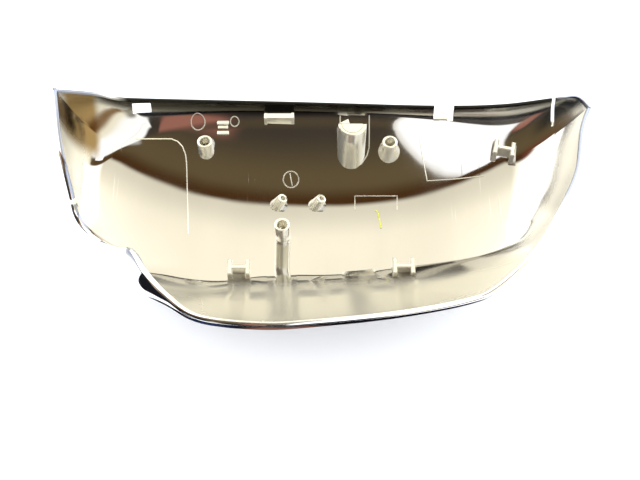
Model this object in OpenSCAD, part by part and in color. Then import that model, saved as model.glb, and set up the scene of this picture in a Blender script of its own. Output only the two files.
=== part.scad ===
// Wing mirror cover: one moulded and chromed shell with screw bosses, pegs, clips and
// a locating column standing on its inner face. It lies on its outer face with its
// opening up, +X towards the pointed end, +Y towards the straight edge. Millimetres.

/* [Shell] */
// Width of the shell from the arm end to the pointed end
shell_width = 256; // [236:1:276]
// Reach of the shell from the curved rim to the straight edge
shell_reach = 136; // [128:1:144]
// Thickness of the moulded wall
wall = 2.5; // [2:0.1:3]

/* [Rim heights] */
// Height of the curved rim at its middle
rim_height = 60; // [57:0.5:64]
// Height of the straight edge
edge_height = 28.5; // [27:0.5:31]
// Height of the corner above the arm end
corner_height = 49; // [47:0.5:52]
// Height of the rim at the bottom of the arm cut-out
arm_cut_height = 31.5; // [29:0.5:34]
// Height of the pointed end
point_height = 38; // [36:0.5:41]

/* [Screw bosses] */
// Place along X of the edge boss nearer the arm
arm_boss_x = -58; // [-62:0.5:-54]
// Place along X of the edge boss nearer the pointed end
point_boss_x = 32; // [30:0.5:36]
// Place along Y of the two edge bosses
edge_boss_y = 46.5; // [43.5:0.5:47.5]
// Height of the edge bosses above the inner face
edge_boss_height = 8; // [7.5:0.5:12]
// Place along X of the middle boss
mid_boss_x = -20; // [-22:0.1:-17]
// Place along Y of the middle boss
mid_boss_y = 5.1; // [3:0.1:8]
// Height of the middle boss above the inner face
mid_boss_height = 12; // [9:0.5:14]
// Diameter of a boss
boss_d = 7.4; // [7:0.1:9]
// Diameter of the screw hole in a boss
boss_bore_d = 4.8; // [3:0.1:5.2]
// Depth of the screw hole
boss_bore_depth = 7; // [4:0.5:7]
// Diameter of the coned foot of the boss nearer the pointed end
boss_foot_d = 11.6; // [10:0.1:13]
// Height of that foot
boss_foot_h = 3; // [2:0.5:4]

/* [Pegs] */
// Place along X of the peg nearer the arm
arm_peg_x = -22.8; // [-25:0.1:-20]
// Place along X of the peg nearer the pointed end
point_peg_x = -4; // [-7:0.1:-1]
// Place along Y of both pegs
peg_y = 21.7; // [19:0.1:25]
// Diameter of a locating peg at its foot
peg_foot_d = 6.6; // [5.6:0.1:8]
// Diameter of a peg at its tip
peg_tip_d = 4.4; // [4:0.1:5.4]
// Length of a peg
peg_length = 7; // [5:0.5:9]
// Diameter of the blind hole in a peg's tip
peg_bore_d = 2.4; // [1.5:0.1:2.8]
// Lean of the pegs towards the pointed end
peg_lean = 24; // [12:1:30]

/* [Clips] */
// Width of an H-shaped clip over its two plates
clip_width = 10.4; // [9:0.2:13]
// Thickness of a clip's plates and web
clip_wall = 2.1; // [1.5:0.1:2.5]
// Length of a clip's plates along Y
clip_length = 8; // [6:0.5:10]
// Height of a clip above the inner face
clip_height = 6.5; // [5:0.5:9]

/* [Locating column] */
// Radius of the round front of the locating column
column_r = 6.7; // [5.8:0.1:7.4]
// Thickness of the column's wall
column_wall = 1.8; // [1.4:0.1:2.2]
// Height of the column's top
column_top = 40; // [32:0.5:44]

/* [Straight edge] */
// Width of the gap in the straight edge
gap_width = 9.5; // [7:0.5:12]
// Depth of that gap below the edge
gap_depth = 6; // [4:0.5:7]
// Width of the snap window below the straight edge
window_width = 9; // [6:0.2:10]
// Height of the snap window
window_height = 4.6; // [3:0.2:5]
// Bar left above the snap window
window_bar = 1.6; // [1.2:0.1:2.4]
// Width of the small ledge on the straight edge's wall
ledge_width = 5.8; // [4:0.2:8]
// Width of the grip pad on the straight edge's wall
pad_width = 14.6; // [12:0.2:18]
// Stand-off of the ledge, the pad, the tab and the outer hooks from their wall
stand_off = 1.8; // [1.4:0.1:2.4]
// Width of the slit beside the pointed end
slit_width = 1.4; // [1:0.1:2]
// Depth of that slit below the rim
slit_depth = 9; // [6:0.5:10]

/* [Hidden] */

chrome = [0.78, 0.78, 0.76];
ray_step = 8;         // widest angle between two rays of the shell, in degrees
rings = 14;           // rings of facets from the lowest point to the rim
floor_rings = 5;      // how many of them lie on the floor
pole = [-6, 4.5];     // the lowest point of the outer face, which the shell rests on
floor_x_r = 450;      // radii of the floor along X, towards the edge and away from it
floor_far_r = 78;
floor_near_r = 170;
wide = shell_width / 256;
deep = shell_reach / 136;
seat_sink = wall / 2; // how deep a boss or clip is rooted in the wall
gap_x = 58.5 * wide;
window_x = -89 * wide;
ledge_x = -49.7 * wide;
pad_x = -22 * wide;
slit_x = 110.8 * wide;
round_fn = 48;

// A rim station holds: x, y and height of the rim's outer edge, length and tightness of
// the bend that leaves the floor, share of the way out that the upper wall aims from,
// and the height that it aims from. The x and y are for a cover 256 wide and 136 deep.
edge_stations = [
    [-128, 59.5, corner_height, 12, 1, 0.97, 0.7 * corner_height],
    [-111, 64.7, corner_height - 9.5, 9, 1, 0.98, edge_height - 0.5],
    [-100, 66, edge_height + 5.5, 7, 1, 0.985, edge_height - 3.5],
    [-85, 66.5, edge_height + 3.5, 6, 1, 0.985, edge_height - 5],
    [-12, 66.9, edge_height, 6, 1, 0.985, edge_height - 7],
    [53, 64.8, edge_height, 6, 1, 0.985, edge_height - 7],
    [86, 64.2, edge_height + 2, 8, 1, 0.985, edge_height - 5.5],
    [111, 65, point_height - 3.5, 12, 1, 0.975, point_height - 12],
    [122, 63, point_height, 14, 1, 0.965, point_height - 10],
    [128, 55.5, point_height, 15, 1, 0.96, point_height - 10]];
rim_stations = [
    edge_stations[len(edge_stations) - 1],
    [122.6, 42.2, point_height + 2, 14, 1, 0.98, point_height - 12],
    [116.8, 18.3, point_height + 4, 12, 1, 1, 24],
    [106.5, -2.9, rim_height - 14.5, 11, 1.1, 1, 24],
    [92, -26.5, rim_height - 10.5, 12, 1.4, 1, 28],
    [72.6, -46.7, rim_height - 7, 11, 1.9, 1, 34],
    [59, -53.9, rim_height - 5, 11, 2.2, 1.01, 37],
    [30, -60.9, rim_height - 2, 9, 2.5, 1.03, 41],
    [-2, -65.3, rim_height, 8, 2.5, 1.045, 42],
    [-25.5, -66.9, rim_height + 0.8, 8, 2.5, 1.055, 42],
    [-51, -63.2, rim_height, 10, 2.5, 1.08, 40],
    [-64.8, -53, rim_height - 1, 13, 2.4, 1.18, 36],
    [-74.4, -41.5, rim_height - 2, 20, 2, 1.33, 30],
    [-82.5, -27.3, rim_height - 7.5, 26, 1.6, 1.42, 24],
    [-91.2, -21.3, arm_cut_height + 12.2, 26, 1.5, 1.3, 18],
    [-100, -14.3, arm_cut_height + 4.5, 22, 1.4, 1.17, 15],
    [-108.6, -6.4, arm_cut_height, 18, 1.4, 1.12, 13],
    [-113.6, 0, arm_cut_height + 1, 14, 1.3, 1.09, 14],
    [-115.4, 6.1, arm_cut_height + 6.5, 13, 1.3, 1.08, 17],
    [-119.8, 21.2, corner_height - 3.5, 12, 1.2, 1.05, 23],
    [-123.7, 36.5, corner_height - 1.5, 12, 1.1, 1.02, 30],
    edge_stations[0]];

// Where a station's rim point lies, seen from the pole
function ray_vector(s) = [s[0] * wide - pole[0], s[1] * deep - pole[1]];
function bearing(s) = let (v = ray_vector(s)) atan2(v[1], v[0]);
function turn(a, b) = let (d = a - b) d > 180 ? d - 360 : d < -180 ? d + 360 : d;
function steps_between(a, b) = max(2, ceil(abs(turn(bearing(a), bearing(b))) / ray_step));

// A smooth curve through four stations, at t between the middle two
function blend(p0, p1, p2, p3, t) = 0.5 * (2 * p1 + (p2 - p0) * t
    + (2 * p0 - 5 * p1 + 4 * p2 - p3) * t * t + (3 * p1 - p0 - 3 * p2 + p3) * t * t * t);
function smooth(st) = let (last = len(st) - 1)
    [for (i = [0:last - 1])
        let (n = steps_between(st[i], st[i + 1]))
        for (k = [0:n - 1])
            blend(st[max(i - 1, 0)], st[i], st[i + 1], st[min(i + 2, last)], k / n)];
edge_rays = smooth(edge_stations);
rays = concat(edge_rays, smooth(rim_stations));
ray_count = len(rays);

// The floor of the outer face: a shallow valley that climbs towards the straight edge
function floor_z(x, y) = let (
    dx = x - pole[0],
    dy = y - pole[1] - 0.0001 * pow(abs(dx), 2.65))
    dx * dx / (2 * floor_x_r) + dy * dy / (2 * (dy > 0 ? floor_far_r : floor_near_r));
// How far the floor reaches from the pole in the direction e
function floor_reach(e) = let (
    a = (e[0] < 0 ? 98 : 92) * wide + 26 * max(e[1], 0),
    b = e[1] < 0 ? 17 : 52 * deep)
    pow(pow(abs(e[0]) / a, 4) + pow(abs(e[1]) / b, 4), -0.25);

// The profile up one ray: distance from the pole and height, at s from 0 to 1
function on_floor(e, r) = floor_z(pole[0] + r * e[0], pole[1] + r * e[1]);
function profile(ray, s) = let (
    v = ray_vector(ray),
    rim_r = norm(v),
    e = v / rim_r,
    foot = floor_reach(e),
    share = floor_rings / rings)
    s <= share ? [foot * s / share, on_floor(e, foot * s / share)]
    : let (
        t = (s - share) / (1 - share),
        rise = on_floor(e, foot + 0.5) - on_floor(e, foot - 0.5),
        b0 = pow(1 - t, 3),
        b1 = 3 * ray[4] * t * pow(1 - t, 2),
        b2 = 3 * t * t * (1 - t),
        b3 = t * t * t)
        [b0 * foot + b1 * (foot + ray[3]) + b2 * ray[5] * rim_r + b3 * rim_r,
         (b0 + b1) * on_floor(e, foot) + b1 * rise * ray[3] + b2 * ray[6] + b3 * ray[2]]
        / (b0 + b1 + b2 + b3);
function place(ray, s) = let (
    p = profile(ray, s),
    e = ray_vector(ray) / norm(ray_vector(ray)))
    [pole[0] + e[0] * p[0], pole[1] + e[1] * p[0], p[1]];
outer_grid = [for (ray = rays) [for (j = [1:rings]) place(ray, j / rings)]];

// Direction out of the outer face at one point of the grid
function unit(v) = v / max(norm(v), 0.000001);
function facing(i, j) = let (
    ahead = outer_grid[(i + 1) % ray_count][j],
    behind = outer_grid[(i + ray_count - 1) % ray_count][j],
    below = j > 0 ? outer_grid[i][j - 1] : [pole[0], pole[1], 0],
    above = outer_grid[i][min(j + 1, rings - 1)])
    unit(cross(above - below, ahead - behind));
inner_grid = [for (i = [0:ray_count - 1]) [for (j = [0:rings - 1])
    outer_grid[i][j] - wall * facing(i, j)]];

// Height of the outer face at a place, found along its ray
function ray_at(x, y) = let (
    a = atan2(y - pole[1], x - pole[0]),
    near = [for (i = [0:ray_count - 1])
        let (
            from = turn(a, bearing(rays[i])),
            to = turn(a, bearing(rays[(i + 1) % ray_count])))
        if (from * to <= 0 && abs(from - to) < 90 && from != to) [i, from / (from - to)]][0])
    rays[near[0]] * (1 - near[1]) + rays[(near[0] + 1) % ray_count] * near[1];
function solve(ray, part, goal, low, high, turns = 16) = turns == 0 ? (low + high) / 2
    : let (mid = (low + high) / 2) profile(ray, mid)[part] < goal
        ? solve(ray, part, goal, mid, high, turns - 1)
        : solve(ray, part, goal, low, mid, turns - 1);
function outer_height(x, y) = let (ray = ray_at(x, y))
    profile(ray, solve(ray, 0, norm([x - pole[0], y - pole[1]]), 0, 1))[1];
function slope(x, y) = [outer_height(x + 1, y) - outer_height(x - 1, y),
                        outer_height(x, y + 1) - outer_height(x, y - 1)] / 2;
// Height of the inner face above that place
function floor_height(x, y) = outer_height(x, y) + wall * norm([1, norm(slope(x, y))]);

// The outer edge of the rim where the straight edge passes x, and where the arm end passes y
function edge_point(x) = [for (i = [0:len(edge_rays) - 1])
    let (a = outer_grid[i][rings - 1], b = outer_grid[i + 1][rings - 1])
    if (a[0] <= x && b[0] > x) a + (b - a) * (x - a[0]) / (b[0] - a[0])][0];
function arm_point(y) = [for (i = [len(edge_rays):ray_count - 1])
    let (a = outer_grid[i][rings - 1], b = outer_grid[(i + 1) % ray_count][rings - 1])
    if (a[0] < -100 * wide && a[1] <= y && b[1] > y) a + (b - a) * (y - a[1]) / (b[1] - a[1])][0];
// The outer face on the ray through a rim point, at a height below that rim
function wall_point(rim, height) = let (ray = ray_at(rim[0], rim[1]))
    place(ray, solve(ray, 1, height, floor_rings / rings, 1));

// The closed shell: outer face, inner face and the rim between them
module shell() {
    lowest = [pole[0], pole[1], 0];
    highest = [pole[0], pole[1], wall];
    points = concat([lowest, highest],
        [for (ray = outer_grid) for (p = ray) p],
        [for (ray = inner_grid) for (p = ray) p]);
    function outer(i, j) = 2 + (i % ray_count) * rings + j;
    function inner(i, j) = outer(i, j) + ray_count * rings;
    faces = concat(
        [for (i = [0:ray_count - 1]) [0, outer(i + 1, 0), outer(i, 0)]],
        [for (i = [0:ray_count - 1]) [1, inner(i, 0), inner(i + 1, 0)]],
        [for (i = [0:ray_count - 1]) for (j = [0:rings - 2]) each [
            [outer(i, j), outer(i + 1, j + 1), outer(i, j + 1)],
            [outer(i, j), outer(i + 1, j), outer(i + 1, j + 1)],
            [inner(i, j), inner(i, j + 1), inner(i + 1, j + 1)],
            [inner(i, j), inner(i + 1, j + 1), inner(i + 1, j)]]],
        [for (i = [0:ray_count - 1]) each [
            [outer(i, rings - 1), inner(i + 1, rings - 1), inner(i, rings - 1)],
            [outer(i, rings - 1), outer(i + 1, rings - 1), inner(i + 1, rings - 1)]]]);
    polyhedron(points, faces, convexity = 8);
}

// What stands on the inner face at x, y is cut off along the wall's mid plane there
module rooted(x, y, size = 60) {
    g = slope(x, y);
    intersection() {
        children();
        translate([x, y, floor_height(x, y) - seat_sink * norm([1, norm(g)])])
            rotate([0, 0, atan2(g[1], g[0])])
            rotate([0, -atan(norm(g)), 0])
            translate([-size, -size, 0])
            cube([2 * size, 2 * size, 2 * size]);
    }
}

// A boss standing straight up, with a coned foot where one is given
module boss(x, y, height, foot_d = 0) {
    foot = max(foot_d, boss_d);
    rooted(x, y)
        translate([x, y, floor_height(x, y)])
        rotate_extrude($fn = round_fn)
        polygon([[0, -8], [foot / 2, -8], [foot / 2, 0], [boss_d / 2, foot_d > 0 ? boss_foot_h : 0.5],
                 [boss_d / 2, height], [0, height]]);
}

module boss_bore(x, y, height) {
    translate([x, y, floor_height(x, y) + height - boss_bore_depth])
        cylinder(d = boss_bore_d, h = boss_bore_depth + 1, $fn = round_fn);
}

// A hollow peg leaning towards the pointed end
module peg_place(x, y) {
    translate([x, y, floor_height(x, y)]) rotate([0, peg_lean, 0]) children();
}

module peg(x, y) {
    rooted(x, y) peg_place(x, y)
        translate([0, 0, -4])
        cylinder(d1 = peg_foot_d + 4 * (peg_foot_d - peg_tip_d) / peg_length, d2 = peg_tip_d,
                 h = peg_length + 4, $fn = round_fn);
}

module peg_bore(x, y) {
    peg_place(x, y) translate([0, 0, peg_length - 3.5])
        cylinder(d = peg_bore_d, h = 5, $fn = round_fn);
}

// Two plates along Y joined by a web: an H seen from above
module clip(x, y, angle = 0) {
    side = (clip_width - clip_wall) / 2;
    rooted(x, y)
        translate([x, y, floor_height(x, y) - 8])
        rotate([0, 0, angle])
        for (piece = [[side, clip_wall, clip_length], [-side, clip_wall, clip_length],
                      [0, 2 * side, clip_wall]])
            translate([piece[0] - piece[1] / 2, -piece[2] / 2, 0])
            cube([piece[1], piece[2], 8 + clip_height]);
}

// A channel with a round front, open to the back, closed on top, with a rib behind its left
module column_plan(r) {
    difference() {
        circle(r, $fn = round_fn);
        translate([-2 * r, 0]) square([4 * r, 2 * r]);
    }
}

module column(x, y) {
    bottom = floor_height(x, y) - 12;
    rooted(x, y) translate([x, y, bottom]) difference() {
        linear_extrude(column_top - bottom) column_plan(column_r);
        translate([0, 0.01, -1])
            linear_extrude(column_top - column_wall - bottom + 1)
            column_plan(column_r - column_wall);
    }
    rooted(x, y) translate([x, y, bottom])
        linear_extrude(column_top - bottom)
        polygon([[-column_r, -0.01], [-0.2 * column_r, -0.01], [-0.3 * column_r, 0.42 * column_r]]);
}

// A block on the inside of the straight edge's wall, from one height up to another
module edge_block(x, width, low, high, out) {
    foot = wall_point(edge_point(x), low);
    head = wall_point(edge_point(x), high);
    root = min(foot[1], head[1]);
    translate([x - width / 2, root - wall - out, low])
        cube([width, wall / 2 + out, high - low]);
}

// A finger scoop cut into the front of the grip pad
module pad(x) {
    top = edge_point(x)[2] - 2;
    difference() {
        edge_block(x, pad_width, top - 6, top, stand_off);
        translate([x, wall_point(edge_point(x), top - 6)[1] - wall - stand_off - 3, top - 3])
            rotate([0, 90, 0]) cylinder(r = 4, h = pad_width - 3, center = true, $fn = round_fn);
    }
}

// A short rib outside the arm end's wall, near the rim
module hook(y) {
    rim = arm_point(y);
    translate([wall_point(rim, rim[2] - 4)[0] - stand_off, y - 1.5, rim[2] - 6])
        cube([stand_off + wall / 2, 3, 4]);
}

// A small tab inside the arm end's wall, beside the arm cut-out
module tab(y) {
    rim = arm_point(y);
    translate([wall_point(rim, rim[2] - 4)[0] + wall / 2, y - 3.5, rim[2] - 6])
        cube([wall / 2 + stand_off + 1, 7, 4]);
}

module edge_gap(x) {
    rim = edge_point(x);
    translate([x - gap_width / 2, rim[1] - 12, rim[2] - gap_depth])
        cube([gap_width, 20, gap_depth + 10]);
}

module snap_window(x) {
    rim = edge_point(x);
    translate([x - window_width / 2, rim[1] - 12, rim[2] - window_bar - window_height])
        cube([window_width, 20, window_height]);
}

module slit(x) {
    rim = edge_point(x);
    translate([x - slit_width / 2, rim[1] - 8, rim[2] - slit_depth])
        cube([slit_width, 16, slit_depth + 10]);
}

module mirror_cover() {
    difference() {
        union() {
            shell();
            boss(arm_boss_x, edge_boss_y, edge_boss_height);
            boss(point_boss_x, edge_boss_y, edge_boss_height, boss_foot_d);
            boss(mid_boss_x, mid_boss_y, mid_boss_height);
            peg(arm_peg_x, peg_y);
            peg(point_peg_x, peg_y);
            clip(-40, -15.5);
            clip(37, -16);
            clip(87.6, 43.8, -12);
            column(13.3, 45.3);
            edge_block(ledge_x, ledge_width, edge_height - 10, edge_height - 6, stand_off);
            pad(pad_x);
            hook(45.3);
            hook(26);
            tab(7.5);
        }
        boss_bore(arm_boss_x, edge_boss_y, edge_boss_height);
        boss_bore(point_boss_x, edge_boss_y, edge_boss_height);
        boss_bore(mid_boss_x, mid_boss_y, mid_boss_height);
        peg_bore(arm_peg_x, peg_y);
        peg_bore(point_peg_x, peg_y);
        edge_gap(gap_x);
        snap_window(window_x);
        slit(slit_x);
    }
}

color(chrome) mirror_cover();
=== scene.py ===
"""Chromed wing mirror cover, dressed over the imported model. Sizes are in metres, except
where a name ends in _mm or _MM."""

import math

import bmesh
import bpy
import numpy as np
from bpy.props import FloatProperty, FloatVectorProperty, IntProperty, PointerProperty
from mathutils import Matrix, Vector


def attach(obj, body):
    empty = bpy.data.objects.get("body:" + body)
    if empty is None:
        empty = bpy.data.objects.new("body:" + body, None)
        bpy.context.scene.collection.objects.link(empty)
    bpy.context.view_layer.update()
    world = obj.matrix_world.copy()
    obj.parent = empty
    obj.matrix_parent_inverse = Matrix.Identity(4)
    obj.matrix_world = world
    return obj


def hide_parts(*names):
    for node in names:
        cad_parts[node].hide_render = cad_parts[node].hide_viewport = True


bl_info = {
    "name": "Wing Mirror Cover",
    "version": (1, 0, 0),
    "blender": (4, 5, 0),
    "location": "View3D > Sidebar > Mirror Cover",
    "description": "Builds a chromed wing mirror cover with its screw bosses, pegs and clips",
    "category": "Add Mesh",
}

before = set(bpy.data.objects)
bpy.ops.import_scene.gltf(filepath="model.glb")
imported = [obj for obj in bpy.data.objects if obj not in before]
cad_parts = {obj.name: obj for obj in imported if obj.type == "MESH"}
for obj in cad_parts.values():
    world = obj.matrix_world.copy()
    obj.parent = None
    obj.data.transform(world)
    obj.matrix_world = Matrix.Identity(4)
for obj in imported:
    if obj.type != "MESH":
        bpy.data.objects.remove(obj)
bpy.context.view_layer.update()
MM = 0.001
UP = Vector((0, 0, 1))

# Rim stations: x, y and height of the rim's outer edge, length and tightness of the bend
# that leaves the floor, share of the way out and height that the upper wall aims from
EDGE_STATIONS_MM = [
    (-128, 59.5, 49, 12, 1, 0.97, 34.3),
    (-111, 64.7, 39.5, 9, 1, 0.98, 28),
    (-100, 66, 34, 7, 1, 0.985, 25),
    (-85, 66.5, 32, 6, 1, 0.985, 23.5),
    (-12, 66.9, 28.5, 6, 1, 0.985, 21.5),
    (53, 64.8, 28.5, 6, 1, 0.985, 21.5),
    (86, 64.2, 30.5, 8, 1, 0.985, 23),
    (111, 65, 34.5, 12, 1, 0.975, 26),
    (122, 63, 38, 14, 1, 0.965, 28),
    (128, 55.5, 38, 15, 1, 0.96, 28),
]
RIM_STATIONS_MM = [
    EDGE_STATIONS_MM[-1],
    (122.6, 42.2, 40, 14, 1, 0.98, 26),
    (116.8, 18.3, 42, 12, 1, 1, 24),
    (106.5, -2.9, 45.5, 11, 1.1, 1, 24),
    (92, -26.5, 49.5, 12, 1.4, 1, 28),
    (72.6, -46.7, 53, 11, 1.9, 1, 34),
    (59, -53.9, 55, 11, 2.2, 1.01, 37),
    (30, -60.9, 58, 9, 2.5, 1.03, 41),
    (-2, -65.3, 60, 8, 2.5, 1.045, 42),
    (-25.5, -66.9, 60.8, 8, 2.5, 1.055, 42),
    (-51, -63.2, 60, 10, 2.5, 1.08, 40),
    (-64.8, -53, 59, 13, 2.4, 1.18, 36),
    (-74.4, -41.5, 58, 20, 2, 1.33, 30),
    (-82.5, -27.3, 52.5, 26, 1.6, 1.42, 24),
    (-91.2, -21.3, 43.7, 26, 1.5, 1.3, 18),
    (-100, -14.3, 36, 22, 1.4, 1.17, 15),
    (-108.6, -6.4, 31.5, 18, 1.4, 1.12, 13),
    (-113.6, 0, 32.5, 14, 1.3, 1.09, 14),
    (-115.4, 6.1, 38, 13, 1.3, 1.08, 17),
    (-119.8, 21.2, 45.5, 12, 1.2, 1.05, 23),
    (-123.7, 36.5, 47.5, 12, 1.1, 1.02, 30),
    EDGE_STATIONS_MM[0],
]
ARM_END_MM = -100

# The floor: its lowest point; its radii along X, towards the straight edge and towards the
# curved rim; how far it reaches to the arm end, the pointed end, the edge and the rim
POLE_MM = (-6.0, 4.5)
FLOOR_RADII_MM = (450.0, 78.0, 170.0)
FLOOR_REACH_MM = (98.0, 92.0, 52.0, 17.0)
FLOOR_SPLAY_MM = 26
FLOOR_SQUARENESS = 4

# The floor's valley bends towards the straight edge at both ends
VALLEY_BEND = 0.0001
VALLEY_POWER = 2.65

# A share runs from 0 at the lowest point to 1 at the rim; up to this one a ray is on the floor
FLOOR_SHARE = 0.4

# Rays and shares at which the outer face is worked out once, to look heights up
LOOKUP_GAP_MM = 2.0
LOOKUP_STEPS = 120


class CoverSizes(bpy.types.PropertyGroup):
    """Sizes of the cover's finish"""

    wall: FloatProperty(
        name="Wall", description="Thickness of the moulded wall",
        default=0.0025, unit="LENGTH")
    boss_radius: FloatProperty(
        name="Boss radius", description="Outer radius of a screw boss",
        default=0.0037, unit="LENGTH")
    bore_radius: FloatProperty(
        name="Bore radius", description="Radius of the screw hole in a boss",
        default=0.0024, unit="LENGTH")
    line_radius: FloatProperty(
        name="Line radius", description="Radius of the raised lines left by the mould",
        default=0.0003, unit="LENGTH")
    pen_radius: FloatProperty(
        name="Pen radius", description="Half the width of the pen mark",
        default=0.0004, unit="LENGTH")
    edge_softness: FloatProperty(
        name="Edge softness", description="Width of the rounding on the fittings' edges",
        default=0.0004, unit="LENGTH")
    ring_detail: IntProperty(
        name="Ring detail", description="Points round each boss and peg",
        default=40, min=12, max=96)


class CoverLook(bpy.types.PropertyGroup):
    """Colours of the plating and of the studio"""

    inner_tint: FloatVectorProperty(
        name="Inner tint", description="Colour of the plating on the inner face",
        subtype="COLOR", default=(0.62, 0.615, 0.6), min=0, max=1)
    outer_tint: FloatVectorProperty(
        name="Outer tint", description="Colour of the bright plating on the outer face",
        subtype="COLOR", default=(0.9, 0.9, 0.91), min=0, max=1)
    fittings_tint: FloatVectorProperty(
        name="Fittings tint", description="Colour of the softer plating on the fittings",
        subtype="COLOR", default=(0.84, 0.81, 0.7), min=0, max=1)
    room: FloatVectorProperty(
        name="Room", description="Colour of the dim room that the plating mirrors",
        subtype="COLOR", default=(0.185, 0.132, 0.062), min=0, max=1)
    soft_box: FloatVectorProperty(
        name="Soft box", description="Colour of the light that the lower inner face mirrors",
        subtype="COLOR", default=(1.62, 1.5, 1.19), min=0, soft_max=2)
    paper: FloatVectorProperty(
        name="Paper", description="Colour of the floor under the cover",
        subtype="COLOR", default=(1.0, 1.0, 1.0), min=0, max=1)


# The surface of the cover

def smooth_stations(stations, step):
    """Points of a smooth curve through the stations, about step millimetres apart"""
    points = np.array(stations, float)
    last = len(points) - 1
    out = []
    for i in range(last):
        before, here = points[max(i - 1, 0)], points[i]
        there, after = points[i + 1], points[min(i + 2, last)]
        gap = math.hypot(there[0] - here[0], there[1] - here[1])
        count = max(3, int(round(gap / step)))
        for k in range(count):
            t = k / count
            out.append(0.5 * (2 * here + (there - before) * t
                              + (2 * before - 5 * here + 4 * there - after) * t * t
                              + (3 * here - before - 3 * there + after) * t ** 3))
    return np.array(out)


def floor_z(x, y):
    """Height of the outer face on its floor, in millimetres"""
    dx = x - POLE_MM[0]
    dy = y - POLE_MM[1] - VALLEY_BEND * np.abs(dx) ** VALLEY_POWER
    along, far, near = FLOOR_RADII_MM
    return dx * dx / (2 * along) + dy * dy / (2 * np.where(dy > 0, far, near))


def floor_reach(ex, ey):
    """How far the floor reaches from its lowest point in a direction, in millimetres"""
    arm, point, edge, rim = FLOOR_REACH_MM
    a = np.where(ex < 0, arm, point) + FLOOR_SPLAY_MM * np.maximum(ey, 0)
    b = np.where(ey < 0, rim, edge)
    n = FLOOR_SQUARENESS
    return (np.abs(ex / a) ** n + np.abs(ey / b) ** n) ** (-1 / n)


def ray_profiles(rays, shares):
    """Points of the outer face on rays from its lowest point, in millimetres: first along the
    floor, then up a curve to the rim's station"""
    x, y, z, bend, tight, wall_share, aim = [rays[:, i][:, None] for i in range(7)]
    dx, dy = x - POLE_MM[0], y - POLE_MM[1]
    rim = np.hypot(dx, dy)
    ex, ey = dx / rim, dy / rim
    foot = floor_reach(ex, ey)

    def on_floor(r):
        return floor_z(POLE_MM[0] + r * ex, POLE_MM[1] + r * ey)

    shares = shares[None, :]
    r_floor = foot * np.minimum(shares / FLOOR_SHARE, 1)
    t = np.clip((shares - FLOOR_SHARE) / (1 - FLOOR_SHARE), 0, None)
    slope = on_floor(foot + 0.5) - on_floor(foot - 0.5)
    b0, b1, b2, b3 = (1 - t) ** 3, 3 * tight * t * (1 - t) ** 2, 3 * t * t * (1 - t), t ** 3
    total = b0 + b1 + b2 + b3
    r_wall = (b0 * foot + b1 * (foot + bend) + b2 * wall_share * rim + b3 * rim) / total
    z_wall = ((b0 + b1) * on_floor(foot) + b1 * slope * bend + b2 * aim + b3 * z) / total
    inside = np.broadcast_to(shares <= FLOOR_SHARE, r_wall.shape)
    r = np.where(inside, r_floor, r_wall)
    height = np.where(inside, on_floor(r_floor), z_wall)
    return np.stack([POLE_MM[0] + r * ex, POLE_MM[1] + r * ey, height], -1)


def all_rays(step):
    """The stations of the whole rim, filled in about step millimetres apart"""
    return np.vstack([smooth_stations(EDGE_STATIONS_MM, step),
                      smooth_stations(RIM_STATIONS_MM, step)])


LOOKUP_RAYS = all_rays(LOOKUP_GAP_MM)
LOOKUP = ray_profiles(LOOKUP_RAYS, np.linspace(0, 1, LOOKUP_STEPS + 1))
LOOKUP_BEARINGS = np.arctan2(LOOKUP_RAYS[:, 1] - POLE_MM[1], LOOKUP_RAYS[:, 0] - POLE_MM[0])


def turns_to_rays(dx, dy):
    """How far a direction from the lowest point is turned from each ray of the lookup"""
    return np.abs(np.angle(np.exp(1j * (LOOKUP_BEARINGS - math.atan2(dy, dx)))))


def outer_height_mm(x, y):
    """Height of the outer face at x, y, all in millimetres"""
    dx, dy = x - POLE_MM[0], y - POLE_MM[1]
    away = turns_to_rays(dx, dy)
    first, second = np.argsort(away)[:2]
    total = away[first] + away[second] + 1e-12
    height = 0.0
    for ray, share in ((first, away[second] / total), (second, away[first] / total)):
        row = LOOKUP[ray]
        r = np.hypot(row[:, 0] - POLE_MM[0], row[:, 1] - POLE_MM[1])
        top = int(np.argmax(r))
        height += share * float(np.interp(math.hypot(dx, dy), r[:top + 1], row[:top + 1, 2]))
    return height


def inner_height(x, y):
    """Height of the inner face at x, y"""
    x, y = x / MM, y / MM
    gx = (outer_height_mm(x + 1, y) - outer_height_mm(x - 1, y)) / 2
    gy = (outer_height_mm(x, y + 1) - outer_height_mm(x, y - 1)) / 2
    wall = bpy.context.scene.cover_sizes.wall / MM
    return (outer_height_mm(x, y) + wall * math.sqrt(1 + gx * gx + gy * gy)) * MM


def edge_point(x):
    """Outer edge of the rim where the straight edge passes x"""
    rows = smooth_stations(EDGE_STATIONS_MM, 1.0)
    y, z = [float(np.interp(x / MM, rows[:, 0], rows[:, k])) * MM for k in (1, 2)]
    return Vector((x, y, z))


def arm_point(y):
    """Outer edge of the rim where the arm end passes y"""
    rows = smooth_stations(RIM_STATIONS_MM, 1.0)
    rows = rows[rows[:, 0] < ARM_END_MM]
    rows = rows[np.argsort(rows[:, 1])]
    x, z = [float(np.interp(y / MM, rows[:, 1], rows[:, k])) * MM for k in (0, 2)]
    return Vector((x, y, z))


def wall_point(rim, height):
    """Outer face at a height on the ray through a rim point"""
    ray = int(np.argmin(turns_to_rays(rim.x / MM - POLE_MM[0], rim.y / MM - POLE_MM[1])))
    row = LOOKUP[ray][round(FLOOR_SHARE * LOOKUP_STEPS):]
    return Vector([float(np.interp(height / MM, row[:, 2], row[:, k])) * MM for k in range(3)])


# Helpers for meshes

SEATING_TRIES = 6


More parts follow.
